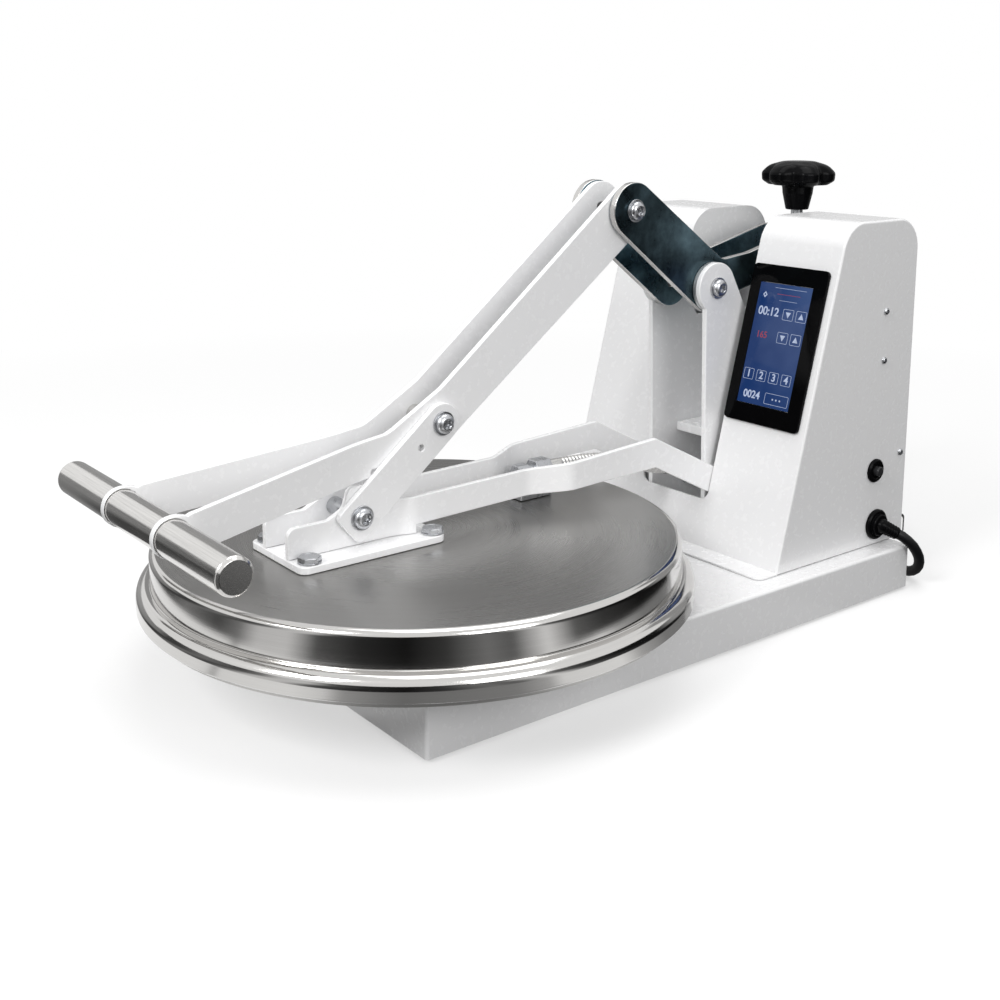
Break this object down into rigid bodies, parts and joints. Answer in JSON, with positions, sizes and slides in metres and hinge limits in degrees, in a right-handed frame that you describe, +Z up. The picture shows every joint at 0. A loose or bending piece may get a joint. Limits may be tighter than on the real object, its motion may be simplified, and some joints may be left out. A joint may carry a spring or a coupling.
{
  "type": "hand lever dough press",
  "caption": "Heated clamshell dough press: a hand lever and toggle links close a round upper platen onto a fixed lower one in front of a split tower.",
  "frame": {"origin": "middle of the footprint of the press without its cord, on the surface it stands on", "axes": "+X to the right seen by the person at the handle, +Y to the back where the tower is, +Z up"},
  "size_m": [0.4686, 0.9451, 0.409],
  "materials": {
    "white_paint": "glossy powder coat",
    "brushed_steel": "brushed stainless",
    "foot_rubber": "matt",
    "platen_metal": "turned",
    "zinc_steel": "zinc plated",
    "black_bezel": "gloss",
    "screen_glass": "lit display",
    "circuit_board": "solder mask",
    "black_plastic": "matt moulded",
    "cord_rubber": "matt",
    "insulation_wool": "fibrous",
    "dark_steel": "dark polished",
    "button_plastic": "satin"
  },
  "bodies": {
    "frame": {"base_cover": "white_paint", "base_bottom": "brushed_steel", "foot_front_left": "foot_rubber", "foot_front_right": "foot_rubber", "foot_rear_left": "foot_rubber", "foot_rear_right": "foot_rubber", "lower_platen": "platen_metal", "tower_cover": "white_paint", "tower_back": "white_paint", "upright_left": "white_paint", "upright_right": "white_paint", "seat_bar": "zinc_steel", "tie_plate": "white_paint", "hinge_shaft": "zinc_steel", "bolt_d_left": "zinc_steel", "bolt_d_right": "zinc_steel", "panel_frame": "black_bezel", "panel_screen": "screen_glass", "control_board": "circuit_board", "breaker_body": "black_plastic", "cord_gland": "black_plastic", "side_screw_1": "zinc_steel", "side_screw_2": "zinc_steel", "side_screw_3": "zinc_steel", "cord": "cord_rubber", "cord_coil": "cord_rubber", "plug": "black_plastic"},
    "platen": {"platen_shroud": "brushed_steel", "upper_platen": "platen_metal", "insulation_pad": "insulation_wool", "heating_element": "zinc_steel", "bracket_plate": "white_paint", "bracket_arm_left": "white_paint", "bracket_arm_right": "white_paint", "spacer_b": "zinc_steel", "conduit_fitting": "zinc_steel", "conduit_hose": "zinc_steel", "bracket_bolt_front_left": "zinc_steel", "bracket_bolt_front_right": "zinc_steel", "bracket_bolt_rear_left": "zinc_steel", "bracket_bolt_rear_right": "zinc_steel"},
    "links": {"link_left": "white_paint", "link_right": "white_paint", "bolt_a_left": "zinc_steel", "bolt_a_right": "zinc_steel", "bolt_b_left": "zinc_steel", "bolt_b_right": "zinc_steel"},
    "handle": {"handle_plate_left": "white_paint", "handle_plate_right": "white_paint", "grip_tube": "brushed_steel", "grip_end_plug": "brushed_steel", "spacer_a": "brushed_steel"},
    "lever": {"lever_plate_left": "dark_steel", "lever_plate_right": "dark_steel", "adjuster_block": "zinc_steel", "bolt_c_left": "zinc_steel", "bolt_c_right": "zinc_steel"},
    "knob": {"knob": "black_plastic", "adjusting_screw": "zinc_steel"},
    "button": {"breaker_button": "button_plastic"}
  },
  "joints": [
    {"name": "platen_lift", "type": "hinge", "parent": "frame", "child": "platen", "pos_m": [0, 0.23045, 0.0866], "axis": [-1, 0, 0], "range_deg": [0, 25]},
    {"name": "knob_turn", "type": "hinge", "parent": "frame", "child": "knob", "pos_m": [0, 0.34645, 0.4], "axis": [0, 0, 1], "range_deg": [0, 1440]},
    {"name": "lever_tilt", "type": "hinge", "parent": "frame", "child": "lever", "pos_m": [0, 0.18995, 0.2956], "axis": [-1, 0, 0], "range_deg": [0, 2.64]},
    {"name": "handle_swing", "type": "hinge", "parent": "lever", "child": "handle", "pos_m": [0, 0.09025, 0.3731], "axis": [-1, 0, 0], "range_deg": [0, 47.36]},
    {"name": "link_swing", "type": "hinge", "parent": "platen", "child": "links", "pos_m": [0, -0.20005, 0.1437], "axis": [1, 0, 0], "range_deg": [0, 96.9]},
    {"name": "breaker_press", "type": "slide", "parent": "frame", "child": "button", "axis": [-1, 0, 0], "range_m": [0, 0.0025], "stiffness_N_per_m": 300, "springref_m": -0.003}
  ],
  "couplings": [
    {"joint": "handle_swing", "follows": "platen_lift", "ratio": 1.894},
    {"joint": "link_swing", "follows": "platen_lift", "ratio": 3.8751},
    {"joint": "lever_tilt", "follows": "knob_turn", "ratio": 0.001829}
  ]
}
